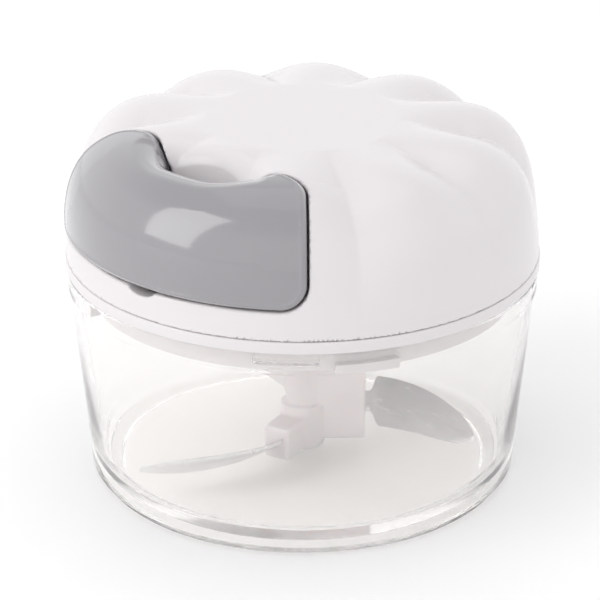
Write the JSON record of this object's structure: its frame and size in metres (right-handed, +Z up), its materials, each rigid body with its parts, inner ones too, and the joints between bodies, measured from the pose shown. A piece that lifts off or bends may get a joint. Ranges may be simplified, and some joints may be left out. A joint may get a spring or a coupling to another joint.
{
  "type": "food chopper",
  "caption": "Hand-pulled food chopper: clear tapered bowl, scalloped white lid with a grey pull handle and cord, bladed rotor inside.",
  "frame": {"origin": "middle of the bowl's foot, on the surface it stands on", "axes": "+Z up along the bowl's axis; -Y towards the pull handle, the way it is pulled; +X to the right of someone who faces the handle"},
  "size_m": [0.092, 0.092, 0.0725],
  "materials": {
    "clear_plastic": "clear, polished",
    "white_plastic": "satin gloss",
    "grey_plastic": "gloss",
    "milky_plastic": "translucent satin",
    "inner_plastic": "as moulded",
    "steel": "brushed",
    "silicone": "soft satin",
    "cord_fibre": "braided"
  },
  "bodies": {
    "bowl": {"bowl": "clear_plastic"},
    "rotor": {"blade_hub": "milky_plastic", "blade_upper": "steel", "blade_middle": "steel", "blade_lower": "steel"},
    "seal": {"lid_seal": "silicone"},
    "lid": {"lid_cover": "white_plastic", "lid_base": "white_plastic", "shaft_seal": "silicone", "cord_guide": "steel", "cord_lead": "cord_fibre", "spool_washer": "steel", "spool_screw": "steel", "base_screw_1": "steel", "base_screw_2": "steel", "base_screw_3": "steel", "base_screw_4": "steel"},
    "handle": {"pull_handle": "grey_plastic", "handle_back": "grey_plastic", "cord_stopper": "inner_plastic", "pull_cord": "cord_fibre"},
    "spool": {"spool": "inner_plastic", "spring_cover": "inner_plastic", "recoil_spring": "steel", "cord_winding": "cord_fibre"},
    "pawl_1": {"pawl_1": "inner_plastic"},
    "pawl_2": {"pawl_2": "inner_plastic"},
    "drive": {"drive_shaft": "inner_plastic"}
  },
  "joints": [
    {"name": "lid_lift", "type": "slide", "parent": "bowl", "child": "seal", "axis": [0, 0, 1], "range_m": [0, 0.09]},
    {"name": "lid_turn", "type": "hinge", "parent": "seal", "child": "lid", "pos_m": [0, 0, 0.0436], "axis": [0, 0, 1], "range_deg": [-20, 0]},
    {"name": "handle_pull", "type": "slide", "parent": "lid", "child": "handle", "axis": [0, -1, 0], "range_m": [0, 0.22], "stiffness_N_per_m": 20, "springref_m": -0.15},
    {"name": "spool_spin", "type": "hinge", "parent": "lid", "child": "spool", "pos_m": [0, 0, 0.054], "axis": [0, 0, 1], "range_deg": [-587, 0]},
    {"name": "drive_spin", "type": "hinge", "parent": "lid", "child": "drive", "pos_m": [0, 0, 0.046], "axis": [0, 0, 1], "range_deg": [-587, 0]},
    {"name": "rotor_spin", "type": "hinge", "parent": "bowl", "child": "rotor", "pos_m": [0, 0, 0.0034], "axis": [0, 0, 1], "range_deg": [-587, 0]},
    {"name": "pawl_1_click", "type": "hinge", "parent": "spool", "child": "pawl_1", "pos_m": [0.00453, -0.00754, 0.0493], "axis": [0, 0, 1], "range_deg": [-14, 0], "stiffness_Nm_per_rad": 0.00001, "springref_deg": 11.46},
    {"name": "pawl_2_click", "type": "hinge", "parent": "spool", "child": "pawl_2", "pos_m": [-0.00453, 0.00754, 0.0493], "axis": [0, 0, 1], "range_deg": [-14, 0], "stiffness_Nm_per_rad": 0.00001, "springref_deg": 11.46}
  ],
  "couplings": [
    {"joint": "spool_spin", "follows": "handle_pull", "rad_per_m": -46.512},
    {"joint": "drive_spin", "follows": "handle_pull", "rad_per_m": -46.512},
    {"joint": "rotor_spin", "follows": "handle_pull", "rad_per_m": -46.512},
    {"joint": "pawl_2_click", "follows": "pawl_1_click", "ratio": 1}
  ]
}
